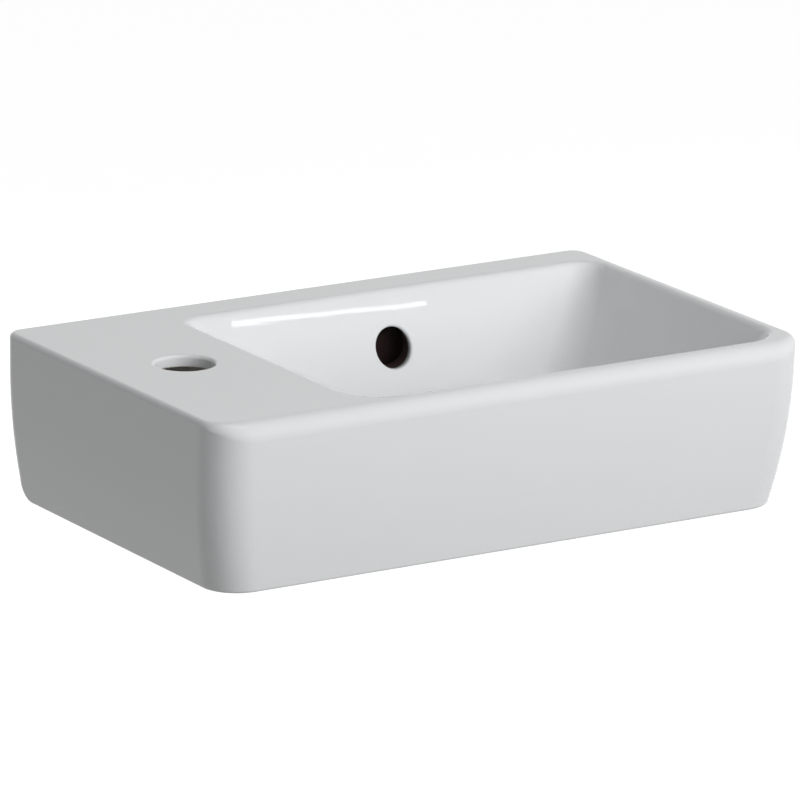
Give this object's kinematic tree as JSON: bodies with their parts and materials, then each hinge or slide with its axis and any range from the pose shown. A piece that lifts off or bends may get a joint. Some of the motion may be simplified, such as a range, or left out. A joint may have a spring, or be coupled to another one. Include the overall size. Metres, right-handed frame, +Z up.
{
  "type": "wall hung basin",
  "caption": "Small rectangular wall hung hand basin in white glazed ceramic, tap deck on the left, overflow in the rear wall, push-open waste and wall fixings.",
  "frame": {"origin": "on the wall plane, midway between the two wall fixings and level with them, 55 mm below the rim", "axes": "+Z up, +Y into the wall, +X to the right of someone facing the basin; the front faces -Y"},
  "size_m": [0.4, 0.3115, 0.13],
  "materials": {
    "glaze": "smooth white sanitary glaze",
    "chrome": "polished chrome plating on brass",
    "brass": "turned, unplated",
    "seal_rubber": "moulded, matte",
    "white_plastic": "moulded",
    "black_plastic": "moulded",
    "grey_plastic": "moulded, ribbed sleeve",
    "zinc_steel": "bright zinc plating",
    "spring_steel": "drawn stainless wire"
  },
  "bodies": {
    "basin": {"basin_body": "glaze", "tap_deck": "glaze", "waste_body": "chrome", "waste_upper_seal": "seal_rubber", "waste_lower_seal": "seal_rubber", "waste_slip_washer": "white_plastic", "waste_back_nut": "brass", "cartridge_housing": "black_plastic", "cartridge_collar": "black_plastic", "cartridge_spring": "spring_steel", "hanger_bolt_left": "zinc_steel", "wall_sleeve_left": "grey_plastic", "collar_bush_left": "white_plastic", "fixing_washer_left": "zinc_steel", "fixing_nut_left": "zinc_steel", "hanger_bolt_right": "zinc_steel", "wall_sleeve_right": "grey_plastic", "collar_bush_right": "white_plastic", "fixing_washer_right": "zinc_steel", "fixing_nut_right": "zinc_steel"},
    "plug": {"plug_cap": "chrome", "plug_seal": "seal_rubber", "plug_stem": "zinc_steel"}
  },
  "joints": [
    {"name": "plug_lift", "type": "slide", "parent": "basin", "child": "plug", "axis": [0, 0, 1], "range_m": [0, 0.009], "deforming": ["cartridge_spring"]}
  ]
}
